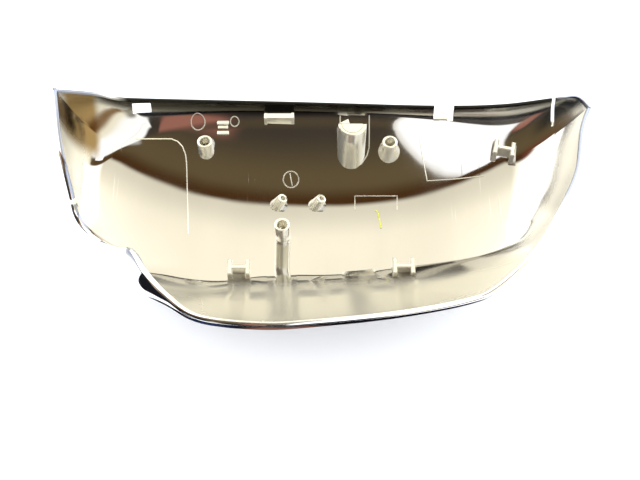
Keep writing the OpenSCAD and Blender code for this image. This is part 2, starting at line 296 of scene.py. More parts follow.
def new_piece(name, mesh, materials, smooth_angle=35):
    """Links a mesh as a finished piece that rides on the cover"""
    piece = bpy.data.objects.new(name, mesh)
    bpy.context.scene.collection.objects.link(piece)
    for material in materials:
        mesh.materials.append(material)
    mesh.shade_smooth()
    mesh.set_sharp_from_angle(angle=math.radians(smooth_angle))
    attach(piece, "root")
    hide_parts("mirror_cover")


def mesh_from(name, build, closed=True):
    """Runs build on an empty bmesh and returns the mesh it makes; a closed one faces outwards"""
    bm = bmesh.new()
    build(bm)
    if closed:
        bmesh.ops.recalc_face_normals(bm, faces=bm.faces)
    mesh = bpy.data.meshes.new(name)
    bm.to_mesh(mesh)
    bm.free()
    return mesh


def new_fitting(name, build):
    """Makes a piece that has the fittings' softer plating"""
    new_piece(name, mesh_from(name, build), [finish("fittings plating")])


def bridge(bm, lower, upper):
    """Joins two rings of as many points with a belt of faces"""
    count = len(lower)
    for i in range(count):
        bm.faces.new((lower[i], lower[(i + 1) % count], upper[(i + 1) % count], upper[i]))


def close_ends(bm, first, last):
    """Closes a belt at both of its rings"""
    bm.faces.new(last)
    bm.faces.new(list(reversed(first)))


def seated_ring(bm, ring, lean=UP, sink=0.0009):
    """Moves a ring of points along lean until each lies just inside the cover's wall"""
    verts = []
    for point in ring:
        p = point.copy()
        # The wall curves, so each try lands nearer to it
        for _ in range(SEATING_TRIES):
            p -= lean * ((p.z - (inner_height(p.x, p.y) - sink)) / lean.z)
        verts.append(bm.verts.new(p))
    return verts


def circle(centre, radius, count, across, along):
    """Points of a circle in the plane of two directions"""
    return [centre + across * (radius * math.cos(2 * math.pi * k / count))
            + along * (radius * math.sin(2 * math.pi * k / count)) for k in range(count)]


def add_post(bm, x, y, profile, lean=0.0):
    """A hollow post: profile lists radius and height, from the wall up and down into its bore"""
    count = bpy.context.scene.cover_sizes.ring_detail
    axis = Vector((math.sin(lean), 0, math.cos(lean)))
    across = Vector((math.cos(lean), 0, -math.sin(lean)))
    along = Vector((0, 1, 0))
    base = Vector((x, y, inner_height(x, y)))
    below = seated_ring(bm, circle(base, profile[0][0], count, across, along), axis)
    last = below
    for radius, up in profile[1:]:
        ring = [bm.verts.new(p) for p in circle(base + axis * up, radius, count, across, along)]
        bridge(bm, last, ring)
        last = ring
    close_ends(bm, below, last)


def add_prism(bm, outline, top, soft):
    """A prism standing on the inner face, with a small chamfer round its top"""
    flat = [Vector((x, y, top)) for x, y in outline]
    below = seated_ring(bm, flat)
    shoulder = [bm.verts.new((p.x, p.y, top - soft)) for p in flat]
    bridge(bm, below, shoulder)
    crown = []
    count = len(flat)
    for i, p in enumerate(flat):
        before, after = (p - flat[i - 1]), (flat[(i + 1) % count] - p)
        before.normalize()
        after.normalize()
        inward = Vector((-before.y - after.y, before.x + after.x, 0))
        # The chamfer of a very sharp corner is held back
        inward *= soft / max(0.3, 1 + before.dot(after)) if inward.length > 1e-9 else 0
        crown.append(bm.verts.new((p.x + inward.x, p.y + inward.y, top)))
    bridge(bm, shoulder, crown)
    close_ends(bm, below, crown)


def add_block(bm, low, high, soft=0.0003):
    """A block with all its edges rounded a little"""
    made = bmesh.ops.create_cube(bm, size=1)["verts"]
    size = Vector(high) - Vector(low)
    middle = (Vector(high) + Vector(low)) / 2
    for v in made:
        v.co = Vector((v.co.x * size.x, v.co.y * size.y, v.co.z * size.z)) + middle
    edges = list(dict.fromkeys(e for v in made for e in v.link_edges))
    bmesh.ops.bevel(bm, geom=edges, offset=soft, segments=2, profile=0.7, affect="EDGES")


# Helpers for materials

def new_material(name):
    """A new material, its nodes' tree and its shader"""
    material = bpy.data.materials.new(name)
    material.use_nodes = True
    return material, material.node_tree, material.node_tree.nodes["Principled BSDF"]


def maths(tree, operation, a, b=None, clamp=False):
    """Adds a Math node; a and b are sockets or numbers"""
    node = tree.nodes.new("ShaderNodeMath")
    node.operation = operation
    node.use_clamp = clamp
    for socket, value in zip(node.inputs, (a, b)):
        if value is None:
            continue
        if isinstance(value, (int, float)):
            socket.default_value = value
        else:
            tree.links.new(value, socket)
    return node.outputs[0]


def vector_maths(tree, operation, a, b=None):
    """Adds a Vector Math node that takes one or two sockets"""
    node = tree.nodes.new("ShaderNodeVectorMath")
    node.operation = operation
    tree.links.new(a, node.inputs[0])
    if b is not None:
        tree.links.new(b, node.inputs["Scale" if operation == "SCALE" else 1])
    return node.outputs[0]


def blend(tree, factor, first, second):
    """Mixes two colours, each a socket or three numbers"""
    node = tree.nodes.new("ShaderNodeMix")
    node.data_type = "RGBA"
    tree.links.new(factor, node.inputs[0])
    for socket, value in ((node.inputs[6], first), (node.inputs[7], second)):
        if isinstance(value, tuple):
            socket.default_value = (*value, 1)
        else:
            tree.links.new(value, socket)
    return node.outputs[2]


def span(tree, value, low, high, out_low=0.0, out_high=1.0, smooth=True):
    """Adds a Map Range node: goes from out_low to out_high while value goes from low to high"""
    node = tree.nodes.new("ShaderNodeMapRange")
    node.interpolation_type = "SMOOTHSTEP" if smooth else "LINEAR"
    for socket, number in zip(node.inputs[1:5], (low, high, out_low, out_high)):
        socket.default_value = number
    tree.links.new(value, node.inputs[0])
    return node.outputs[0]


def coordinates(tree, kind):
    """One output of Texture Coordinate, taken apart into x, y and z"""
    place = tree.nodes.new("ShaderNodeTexCoord")
    parts = tree.nodes.new("ShaderNodeSeparateXYZ")
    tree.links.new(place.outputs[kind], parts.inputs[0])
    return dict(zip("xyz", parts.outputs))


def mask(tree, places, limits):
    """A mask that fades in over all of its limits; each names a place and gives span's numbers"""
    out = None
    for name, *numbers in limits:
        fade = span(tree, places[name], *numbers)
        out = fade if out is None else maths(tree, "MULTIPLY", out, fade)
    return out


def strongest(tree, masks):
    """One mask that is as strong as the strongest of several"""
    out = masks[0]
    for other in masks[1:]:
        out = maths(tree, "MAXIMUM", out, other)
    return out


def painted(tree, colour, places, patches):
    """Lays patches over a colour, one after another: the limits of each and its own colour"""
    for limits, patch in patches:
        colour = blend(tree, mask(tree, places, limits), colour, patch)
    return colour


# Materials

# Finishes: roughness where clear and where hazy, scratches, ripple, depth of both, metal
FINISHES = {
    "outer plating": (0.03, 0.07, 0.2, 0.2, 0.00005, 1.0),
    "rim plating": (0.14, 0.22, 0.1, 0.2, 0.00005, 1.0),
    "inner plating": (0.03, 0.09, 1.0, 0.5, 0.00012, 1.0),
    "fittings plating": (0.18, 0.3, 0.1, 0.3, 0.00008, 0.72),
}
HAZE_SHADE = 0.94
SCRATCH_DEPTH = 0.25

# Places on the inner face, in metres; up is 1 where the face is level
INNER_MARKS = {
    # Level places, the only ones that are scratched
    "level": [("up", 0.9, 0.96)],
    "steep": [("up", 0.85, 0.5)],
    # The steep walls of the pointed end and of the arm end, and the one under the curved rim
    "pointed end": [("x", 0.07, 0.1), ("y", 0.06, 0.055)],
    "arm end": [("x", -0.07, -0.1), ("y", 0.05, 0.04)],
    "near wall": [("y", -0.015, -0.03), ("up", 0.96, 0.8, 0.0, 0.75)],
    # A painted dark reflection along the straight edge, and a painted brown reflection in the
    # corner at the arm end
    "thin": [("y", 0.0605, 0.063, 0.0, 0.95)],
    "corner": [("x", -0.108, -0.112), ("x", -0.125, -0.121), ("y", 0.038, 0.046, 0.0, 0.9)],
    # How far the face mirrors as if tilted: along X by the arm end, along Y before the middle boss
    "tilt x": [("x", -0.076, -0.092, 0.0, 0.13), ("y", 0.042, 0.05)],
    "tilt y": [("x", -0.0275, -0.0245), ("x", -0.0125, -0.0155), ("y", 0.006, 0.0, 0.0, 0.3),
               ("y", -0.0165, -0.011), ("up", 0.85, 0.93)],
}
# Painted reflections in the inner plating's colour: pale cream on the steep end walls, a darker
# olive tone on the near wall, nearly black along the straight edge and brown in the corner
END_WALLS_PAINTED_PALE_REFLECTION = (0.97, 0.92, 0.77)
NEAR_WALL_PAINTED_REFLECTION_TONE = (0.74, 0.69, 0.52)
STRAIGHT_EDGE_PAINTED_DARK_REFLECTION = (0.03, 0.027, 0.02)
STRAIGHT_EDGE_PAINTED_DARK_SHEEN = (0.05, 0.045, 0.035)
CORNER_PAINTED_BROWN_REFLECTION = (0.27, 0.17, 0.05)
STEEP_HAZE = 0.13
PALE_HAZE = 0.14
PALE_METAL_LOSS = 0.6

# Painted reflections on the rim's plating; side is how far a point is from the middle
RIM_PAINTED_REFLECTIONS = [
    # A painted blue-grey reflection at both ends
    ([("side", 0.095, 0.11), ("y", 0.066, 0.062)], (0.34, 0.37, 0.47)),
    # A painted nearly black reflection along the straight edge
    ([("x", -0.105, -0.095), ("x", 0.118, 0.11), ("y", 0.055, 0.06)], (0.03, 0.03, 0.028)),
]
INK_COLOURS = ((0.72, 0.7, 0.1), (0.5, 0.52, 0.06))
INK_GRAIN = 600


def plating_wear_group():
    """Fine scratches along Y, a slight ripple of the moulding and cloudy patches"""
    group = bpy.data.node_groups.new("plating wear", "ShaderNodeTree")
    for label in ("Scratches", "Ripple"):
        socket = group.interface.new_socket(label, in_out="INPUT", socket_type="NodeSocketFloat")
        socket.default_value = 0.5
    for label in ("Height", "Haze"):
        group.interface.new_socket(label, in_out="OUTPUT", socket_type="NodeSocketFloat")
    nodes, links = group.nodes, group.links
    given = nodes.new("NodeGroupInput")
    result = nodes.new("NodeGroupOutput")
    place = nodes.new("ShaderNodeTexCoord")

    def noise(scale, size, detail):
        mapping = nodes.new("ShaderNodeMapping")
        mapping.inputs["Scale"].default_value = size
        links.new(place.outputs["Object"], mapping.inputs["Vector"])
        texture = nodes.new("ShaderNodeTexNoise")
        texture.inputs["Scale"].default_value = scale
        texture.inputs["Detail"].default_value = detail
        links.new(mapping.outputs[0], texture.inputs["Vector"])
        return texture.outputs[0]

    hairs = span(group, noise(900, size=(1, 0.03, 0.03), detail=2), 0.66, 0.76)
    patches = span(group, noise(22, size=(1, 0.5, 1), detail=2), 0.5, 0.7)
    hairs = maths(group, "MULTIPLY", hairs, patches)
    scratched = maths(group, "MULTIPLY", hairs, given.outputs["Scratches"])
    waves = noise(45, size=(1, 1, 1), detail=1)
    ripple = maths(group, "MULTIPLY", waves, given.outputs["Ripple"])
    height = maths(group, "SUBTRACT", ripple, maths(group, "MULTIPLY", scratched, SCRATCH_DEPTH))
    links.new(height, result.inputs["Height"])
    clouds = span(group, noise(30, size=(1, 0.4, 1), detail=4), 0.35, 0.75)
    links.new(maths(group, "ADD", clouds, hairs, clamp=True), result.inputs["Haze"])
    return group


def face_places(tree):
    """Where a point of the piece lies, and how far its face looks up"""
    places = coordinates(tree, "Object")
    surface = tree.nodes.new("ShaderNodeNewGeometry")
    facing = tree.nodes.new("ShaderNodeSeparateXYZ")
    tree.links.new(surface.outputs["True Normal"], facing.inputs[0])
    places["up"] = facing.outputs[2]
    return places


def plated(name, tint):
    """Plated plastic: a metal whose polish clouds and ripples a little"""
    clear, hazy, scratches, ripple, depth, metal = FINISHES[name]
    material, tree, shader = new_material(name)
    shader.inputs["Metallic"].default_value = metal
    wear = tree.nodes.new("ShaderNodeGroup")
    wear.node_tree = bpy.data.node_groups.get("plating wear") or plating_wear_group()
    wear.inputs["Scratches"].default_value = scratches
    wear.inputs["Ripple"].default_value = ripple
    rough = span(tree, wear.outputs["Haze"], 0.0, 1.0, clear, hazy, smooth=False)
    colour = blend(tree, wear.outputs["Haze"], tint, tuple(c * HAZE_SHADE for c in tint))
    bump = tree.nodes.new("ShaderNodeBump")
    bump.inputs["Strength"].default_value = 1.0
    bump.inputs["Distance"].default_value = 1.0
    tree.links.new(maths(tree, "MULTIPLY", wear.outputs["Height"], depth), bump.inputs["Height"])
    if name == "inner plating":
        rough, colour = inner_face(tree, shader, wear, bump, rough, colour)
    if name == "rim plating":
        # Painted reflections on the rim: blue-grey at both ends, nearly black along the straight
        # edge
        places = coordinates(tree, "Object")
        places["side"] = maths(tree, "ABSOLUTE", places["x"])
        colour = painted(tree, colour, places, RIM_PAINTED_REFLECTIONS)
    tree.links.new(rough, shader.inputs["Roughness"])
    tree.links.new(colour, shader.inputs["Base Color"])
    tree.links.new(bump.outputs[0], shader.inputs["Normal"])
    return material


def inner_face(tree, shader, wear, bump, rough, colour):
    """Adds the marks that only the inner face has, and returns its roughness and colour"""
    places = face_places(tree)
    marks = {name: mask(tree, places, limits) for name, limits in INNER_MARKS.items()}
    ends = strongest(tree, [marks["arm end"], marks["pointed end"]])
    ends = maths(tree, "MULTIPLY", marks["steep"], ends)
    pale = strongest(tree, [marks["near wall"], ends])
    tree.links.new(marks["level"], wear.inputs["Scratches"])

    steep_haze = maths(tree, "MULTIPLY", marks["steep"], STEEP_HAZE)
    haze = maths(tree, "ADD", steep_haze, maths(tree, "MULTIPLY", pale, PALE_HAZE))
    # Painted reflections: pale cream on the end walls and a darker olive tone on the near wall
    colour = blend(tree, ends, colour, END_WALLS_PAINTED_PALE_REFLECTION)
    colour = blend(tree, marks["near wall"], colour, NEAR_WALL_PAINTED_REFLECTION_TONE)
    # A painted dark reflection along the straight edge
    colour = blend(tree, marks["thin"], colour, STRAIGHT_EDGE_PAINTED_DARK_REFLECTION)
    # A painted brown reflection in the corner at the arm end
    colour = blend(tree, marks["corner"], colour, CORNER_PAINTED_BROWN_REFLECTION)
    metal = maths(tree, "SUBTRACT", 1.0, maths(tree, "MULTIPLY", pale, PALE_METAL_LOSS))
    tree.links.new(metal, shader.inputs["Metallic"])
    # A darker specular tint along the straight edge, part of the same painted dark reflection
    painted_dark_sheen = blend(tree, marks["thin"], (1.0, 1.0, 1.0), STRAIGHT_EDGE_PAINTED_DARK_SHEEN)
    tree.links.new(painted_dark_sheen, shader.inputs["Specular Tint"])

    surface = tree.nodes.new("ShaderNodeNewGeometry")
    tilt = tree.nodes.new("ShaderNodeCombineXYZ")
    tree.links.new(marks["tilt x"], tilt.inputs[0])
    tree.links.new(marks["tilt y"], tilt.inputs[1])
    tilted = vector_maths(tree, "ADD", surface.outputs["Normal"], tilt.outputs[0])
    tree.links.new(vector_maths(tree, "NORMALIZE", tilted), bump.inputs["Normal"])
    return maths(tree, "ADD", rough, haze), colour


def finish(name):
    """One of the cover's finishes, each made once"""
    look = bpy.context.scene.cover_look
    tints = {"inner plating": look.inner_tint, "fittings plating": look.fittings_tint}
    return bpy.data.materials.get(name) or plated(name, tuple(tints.get(name, look.outer_tint)))


def pen_ink():
    """Yellow-green ink, a little uneven along its length"""
    material, tree, shader = new_material("pen ink")
    place = tree.nodes.new("ShaderNodeTexCoord")
    noise = tree.nodes.new("ShaderNodeTexNoise")
    noise.inputs["Scale"].default_value = INK_GRAIN
    tree.links.new(place.outputs["Object"], noise.inputs["Vector"])
    patchy = span(tree, noise.outputs[0], 0.4, 0.6)
    tree.links.new(blend(tree, patchy, *INK_COLOURS), shader.inputs["Base Color"])
    shader.inputs["Roughness"].default_value = 0.6
    return material


# The shell: spacing of its rays, and its rows on the floor and up the wall
RAY_GAP_MM = 1.6
FLOOR_ROWS = 22
WALL_ROWS = 44

# The rim has a soft outer corner and a crisp inner one; the outer plating ends on the soft one
SOFT_CORNER_MM = 1.5
SOFT_STEPS = 6
CRISP_CORNER_MM = 0.3
CRISP_STEPS = 3
OUTER_PLATING_STEPS = 4
NEAR_LIMIT_MM = -66.88
SHELL_FINISHES = ("outer plating", "rim plating", "inner plating")

# Cut-outs in the straight edge: x, width, how far below the rim the top lies, and height.
# The gap and the slit are open above, so their tops lie over the rim
CUTOUTS_MM = {"gap": (58.5, 9.5, -10, 16), "slit": (110.8, 1.4, -10, 19),
              "snap window": (-89, 9, 1.6, 4.6)}
CUT_INWARDS = 0.012
CUT_OUTWARDS = 0.008
FEWEST_FACES = 1000


def outer_rows(rays):
    """Points of the outer face on each ray, up to where the rim's soft corner begins"""
    shares = np.concatenate([np.linspace(0, FLOOR_SHARE, FLOOR_ROWS + 1)[1:],
                             np.linspace(FLOOR_SHARE, 1, WALL_ROWS + 1)[1:]])
    whole = ray_profiles(rays, shares)
    climb = np.linalg.norm(whole[:, -1] - whole[:, -2], axis=1) / (shares[-1] - shares[-2])
    rows = []
    for ray, top in zip(rays, 1 - SOFT_CORNER_MM / climb):
        short = FLOOR_SHARE + (shares - FLOOR_SHARE) * (top - FLOOR_SHARE) / (1 - FLOOR_SHARE)
        rows.append(ray_profiles(ray[None, :], np.where(shares > FLOOR_SHARE, short, shares))[0])
    return np.stack(rows)


def rim_rings(outside, inside, out, up):
    """Rings of points that lead over the rim, from the outer face to the inner one"""
    soft, crisp = SOFT_CORNER_MM, CRISP_CORNER_MM
    rings = []
    for step in range(1, SOFT_STEPS + 1):
        turn = math.pi / 2 * step / SOFT_STEPS
        rings.append(outside - out * soft * (1 - math.cos(turn)) + up * soft * math.sin(turn))
    for step in range(CRISP_STEPS + 1):
        turn = math.pi / 2 * (1 - step / CRISP_STEPS)
        rings.append(inside + up * (soft - crisp) + out * crisp * (1 - math.cos(turn))
                     + up * crisp * math.sin(turn))
    return rings


def shell_mesh():
    """The closed shell in rings: up the outer face, over the rim and down the inner face"""
    wall = bpy.context.scene.cover_sizes.wall / MM
    rays = all_rays(RAY_GAP_MM)
    outer = outer_rows(rays)
    pole = np.broadcast_to([POLE_MM[0], POLE_MM[1], 0.0], (len(rays), 1, 3))
    along = np.gradient(np.concatenate([pole, outer], axis=1), axis=1)[:, 1:]
    around = np.roll(outer, -1, 0) - np.roll(outer, 1, 0)
    facing = np.cross(along, around)
    facing /= np.linalg.norm(facing, axis=-1, keepdims=True)
    inner = outer - wall * facing
    up = along[:, -1] / np.linalg.norm(along[:, -1], axis=-1, keepdims=True)
    rim = rim_rings(outer[:, -1], inner[:, -1], facing[:, -1], up)
    rows = outer.shape[1]
    rings = [outer[:, j] for j in range(rows)] + rim
    rings += [inner[:, j] for j in reversed(range(rows))]

    count = len(rays)
    verts = [(POLE_MM[0], POLE_MM[1], 0.0)] + [tuple(p) for ring in rings for p in ring]
    verts.append((POLE_MM[0], POLE_MM[1], wall))
    last = len(verts) - 1
    faces, slots = [], []
    for i in range(count):
        k = (i + 1) % count
        faces += [(0, 1 + k, 1 + i), (last, last - count + i, last - count + k)]
        slots += [0, 2]
    for j in range(len(rings) - 1):
        slot = 0 if j < rows + OUTER_PLATING_STEPS else 1 if j < rows + len(rim) else 2
        start = 1 + j * count
        for i in range(count):
            k = (i + 1) % count
            faces.append((start + i, start + k, start + count + k, start + count + i))
            slots.append(slot)
    mesh = bpy.data.meshes.new("cover_shell")
    # The smooth curve would pass the near rim's stations by a fraction of a millimetre
    verts = [(x * MM, max(y, NEAR_LIMIT_MM) * MM, z * MM) for x, y, z in verts]
    mesh.from_pydata(verts, [], faces)
    mesh.polygons.foreach_set("material_index", slots)
    mesh.update()
    return mesh


def add_cutters(bm):
    """The blocks that cut the gap, the slit and the snap window out of the straight edge"""
    for x, width, below, tall in CUTOUTS_MM.values():
        rim = edge_point(x * MM)
        high = rim.z - below * MM
        add_block(bm, (rim.x - width * MM / 2, rim.y - CUT_INWARDS, high - tall * MM),
                  (rim.x + width * MM / 2, rim.y + CUT_OUTWARDS, high))


class COVER_OT_shell(bpy.types.Operator):
    """Make the thin curved shell with its rounded rim and the cut-outs in its straight edge"""

    bl_idname = "cover.shell"
    bl_label = "Shell"

    def execute(self, context):
        collection = context.scene.collection
        shell = bpy.data.objects.new("shell_raw", shell_mesh())
        collection.objects.link(shell)
        for name in SHELL_FINISHES:
            shell.data.materials.append(finish(name))
        cutter = bpy.data.objects.new("edge_cutters", mesh_from("edge_cutters", add_cutters))
        collection.objects.link(cutter)
        cut = shell.modifiers.new("Edge cut-outs", "BOOLEAN")
        cut.operation = "DIFFERENCE"
        cut.solver = "EXACT"
        cut.object = cutter
        evaluated = shell.evaluated_get(context.evaluated_depsgraph_get())
        mesh = bpy.data.meshes.new_from_object(evaluated)
        mesh.name = "cover_shell"
        bpy.data.objects.remove(shell)
        bpy.data.objects.remove(cutter)
        if len(mesh.polygons) < FEWEST_FACES:
            raise RuntimeError("the cut-outs left no shell")
        new_piece("cover_shell", mesh, [], smooth_angle=40)
        return {"FINISHED"}


# Screw bosses: x, y, height, and how much wider than the boss its coned foot is
BOSSES = [(-0.058, 0.0465, 0.008, 0.0), (0.032, 0.0465, 0.008, 0.0021),
          (-0.020, 0.0051, 0.012, 0.0)]
BOSS_FILLET = 0.0006
BOSS_CONE_HEIGHT = 0.003
BOSS_CONE_NECK = 0.12
BOSS_BLEND = 0.0004
BORE_DEPTH = 0.007
DRILL_POINT = 0.0004


def boss_profile(sizes, tall, foot):
    """Radius and height from a boss's fillet or cone, over its top and down into its bore"""
    r, b, s = sizes.boss_radius, sizes.bore_radius, sizes.edge_softness
    rise = BOSS_CONE_HEIGHT if foot else BOSS_FILLET
    return [(r + (foot or BOSS_FILLET), 0), (r + foot * BOSS_CONE_NECK, rise * 0.8),
            (r, rise + BOSS_BLEND), (r, tall - s), (r - s * 0.3, tall - s * 0.3), (r - s, tall),
            (b + s * 0.6, tall), (b, tall - s * 0.6), (b, tall - BORE_DEPTH),
            (b * 0.6, tall - BORE_DEPTH - DRILL_POINT)]


class COVER_OT_bosses(bpy.types.Operator):
    """Make the three screw bosses, one of them on a coned foot"""

    bl_idname = "cover.bosses"
    bl_label = "Screw bosses"

    def execute(self, context):
        def build(bm):
            for x, y, tall, foot in BOSSES:
                add_post(bm, x, y, boss_profile(context.scene.cover_sizes, tall, foot))

        new_fitting("screw_bosses", build)
        return {"FINISHED"}


# Pegs: x and y of each; the hole goes half way down
PEGS = [(-0.0228, 0.0217), (-0.004, 0.0217)]
PEG_HEIGHT = 0.007
PEG_LEAN = math.radians(24)
PEG_FOOT_RADIUS = 0.0036
PEG_NECK = (0.0031, 0.0009)
PEG_RADIUS = 0.0022
PEG_HOLE_RADIUS = 0.0012


def peg_profile(s):
    """Radius and height from a peg's foot, over its tip and down into its hole"""
    r, b, tall = PEG_RADIUS, PEG_HOLE_RADIUS, PEG_HEIGHT
    return [(PEG_FOOT_RADIUS, 0), PEG_NECK, (r + s * 0.5, tall - s), (r, tall - s * 0.3),
            (r - s, tall), (b + s * 0.3, tall), (b, tall - s * 0.3),
            (b, tall / 2), (b / 2, tall / 2 - 0.0001)]


class COVER_OT_pegs(bpy.types.Operator):
    """Make the two hollow pegs that lean towards the pointed end"""

    bl_idname = "cover.pegs"
    bl_label = "Pegs"

    def execute(self, context):
        def build(bm):
            for x, y in PEGS:
                add_post(bm, x, y, peg_profile(context.scene.cover_sizes.edge_softness), PEG_LEAN)

        new_fitting("pegs", build)
        return {"FINISHED"}


# Clips: x, y and turn in degrees of each
CLIPS = [(-0.040, -0.0155, 0), (0.037, -0.016, 0), (0.0876, 0.0438, -12)]
CLIP_HALF_WIDTH = 0.0052
CLIP_HALF_LENGTH = 0.004
CLIP_PLATE = 0.0021
CLIP_HALF_WEB = 0.00105
CLIP_HEIGHT = 0.0065


def clip_outline(x, y, turn):
    """A clip's H from above: two plates along Y and the web between them"""
    a, length, web = CLIP_HALF_WIDTH, CLIP_HALF_LENGTH, CLIP_HALF_WEB
    inner = a - CLIP_PLATE
    outline = [(-a, -length), (-inner, -length), (-inner, -web), (inner, -web),
               (inner, -length), (a, -length), (a, length), (inner, length),
               (inner, web), (-inner, web), (-inner, length), (-a, length)]
    c, s = math.cos(math.radians(turn)), math.sin(math.radians(turn))
    return [(x + px * c - py * s, y + px * s + py * c) for px, py in outline]


class COVER_OT_clips(bpy.types.Operator):
    """Make the three H-shaped clips, two plates joined by a web"""

    bl_idname = "cover.clips"
    bl_label = "Clips"

    def execute(self, context):
        def build(bm):
            for x, y, turn in CLIPS:
                add_prism(bm, clip_outline(x, y, turn), inner_height(x, y) + CLIP_HEIGHT,
                          context.scene.cover_sizes.edge_softness)

        new_fitting("clips", build)
        return {"FINISHED"}


# Locating column: its centre, outer radius, wall, the height of its top and how far below that
# its lid lies, so that the two don't share a face
COLUMN_PLACE = (0.0133, 0.0453)
COLUMN_RADIUS = 0.0067
COLUMN_WALL = 0.0018
COLUMN_TOP = 0.040
LID_DROP = 0.0001
COLUMN_STEPS = 24


class COVER_OT_column(bpy.types.Operator):
    """Make the tall locating column, round in front, open behind and closed on top"""

    bl_idname = "cover.column"
    bl_label = "Locating column"

    def execute(self, context):
        soft = context.scene.cover_sizes.edge_softness
        x, y = COLUMN_PLACE
        r, top = COLUMN_RADIUS, COLUMN_TOP
        bore = r - COLUMN_WALL

        def build(bm):
            arc = [math.pi * (1 + k / COLUMN_STEPS) for k in range(COLUMN_STEPS + 1)]
            outside = [(x + r * math.cos(t), y + r * math.sin(t)) for t in arc]
            inside = [(x + bore * math.cos(t), y + bore * math.sin(t)) for t in arc]
            add_prism(bm, outside + list(reversed(inside)), top, soft)
            lid = [bm.verts.new((px, py, top - LID_DROP)) for px, py in inside]
            under = [bm.verts.new((px, py, top - COLUMN_WALL)) for px, py in inside]
            bridge(bm, under, lid)
            close_ends(bm, under, lid)
            # A three-cornered rib beside the open back
            rib = [(x - r, y), (x - 0.2 * r, y), (x - 0.3 * r, y + 0.42 * r)]
            add_prism(bm, rib, top, soft * 0.5)

        new_fitting("locating_column", build)
        return {"FINISHED"}


# How far the fittings of the straight edge stand out of the wall
EDGE_OUT = 0.0018

# Ledge: its x, and the width, bottom, top and reach of its three layers
LEDGE_X = -0.0497
LEDGE_LAYERS = [(0.0058, 0.0185, 0.0199, EDGE_OUT), (0.0050, 0.0195, 0.0213, EDGE_OUT / 2),
                (0.0058, 0.0211, 0.0225, EDGE_OUT)]

# Grip pad: a scooped bar between two cheeks; its ends lie a little way into them
PAD_X = -0.022
PAD_WIDTH = 0.0146
PAD_HEIGHT = 0.006
PAD_BELOW_EDGE = 0.002
PAD_CHEEK = 0.0014
PAD_INSET = 0.0012
PAD_BACK = 0.0025
SCOOP_RADIUS = 0.004
SCOOP_CENTRE = 0.003
SCOOP_HALF_ANGLE = 42
SCOOP_STEPS = 8

# Arm end: y of the two outer hooks, y of the inner tab's middle and ends, and how far below
# the rim they all begin, find the wall and end; the tab stands out further than the hooks
HOOKS_Y = (0.0453, 0.026)
HOOK_HALF_WIDTH = 0.0015
TAB_Y = 0.0075
TAB_ENDS_Y = (0.004, 0.011)
TAB_EXTRA = 0.001
TAB_SOFTNESS = 0.0004
ARM_TOP, ARM_MIDDLE, ARM_BOTTOM = 0.002, 0.004, 0.006


def edge_block(bm, x, width, low, high, out):
    """A block on the inside of the straight edge's wall; returns its front along Y"""
    wall = bpy.context.scene.cover_sizes.wall
    rim = edge_point(x)
    root = min(wall_point(rim, low).y, wall_point(rim, high).y)
    add_block(bm, (x - width / 2, root - wall - out, low), (x + width / 2, root - wall / 2, high))
    return root - wall - out


def add_pad(bm):
    """The grip pad, whose front is hollowed between its cheeks"""
    top = edge_point(PAD_X).z - PAD_BELOW_EDGE
    bottom = top - PAD_HEIGHT
    for side in (-1, 1):
        x = PAD_X + side * (PAD_WIDTH / 2 - PAD_CHEEK / 2)
        front = edge_block(bm, x, PAD_CHEEK, bottom, top, EDGE_OUT)
    scoop = [(front + PAD_BACK, bottom), (front, bottom)]
    for step in range(SCOOP_STEPS + 1):
        turn = math.radians(SCOOP_HALF_ANGLE * (2 * step / SCOOP_STEPS - 1))
        scoop.append((front - SCOOP_CENTRE + SCOOP_RADIUS * math.cos(turn),
                      top - PAD_HEIGHT / 2 + SCOOP_RADIUS * math.sin(turn)))
    scoop += [(front, top), (front + PAD_BACK, top)]
    half = PAD_WIDTH / 2 - PAD_INSET
    ends = [[bm.verts.new((PAD_X + side * half, y, z)) for y, z in scoop] for side in (-1, 1)]
    bridge(bm, ends[0], ends[1])
    close_ends(bm, ends[0], ends[1])


def add_arm_fittings(bm):
    """The two hooks outside the arm end's wall and the tab inside it"""
    half_wall = bpy.context.scene.cover_sizes.wall / 2
    for y in HOOKS_Y:
        rim = arm_point(y)
        side = wall_point(rim, rim.z - ARM_MIDDLE).x
        add_block(bm, (side - EDGE_OUT, y - HOOK_HALF_WIDTH, rim.z - ARM_BOTTOM),
                  (side + half_wall, y + HOOK_HALF_WIDTH, rim.z - ARM_TOP))
    rim = arm_point(TAB_Y)
    side = wall_point(rim, rim.z - ARM_MIDDLE).x + half_wall
    add_block(bm, (side, TAB_ENDS_Y[0], rim.z - ARM_BOTTOM),
              (side + half_wall + EDGE_OUT + TAB_EXTRA, TAB_ENDS_Y[1], rim.z - ARM_TOP),
              TAB_SOFTNESS)


class COVER_OT_edge_fittings(bpy.types.Operator):
    """Make the ledge and the scooped pad on the straight edge, the tab and the outer hooks"""

    bl_idname = "cover.edge_fittings"
    bl_label = "Edge fittings"

    def execute(self, context):
        def build(bm):
            for layer in LEDGE_LAYERS:
                edge_block(bm, LEDGE_X, *layer)
            add_pad(bm)
            add_arm_fittings(bm)

        new_fitting("edge_fittings", build)
        return {"FINISHED"}


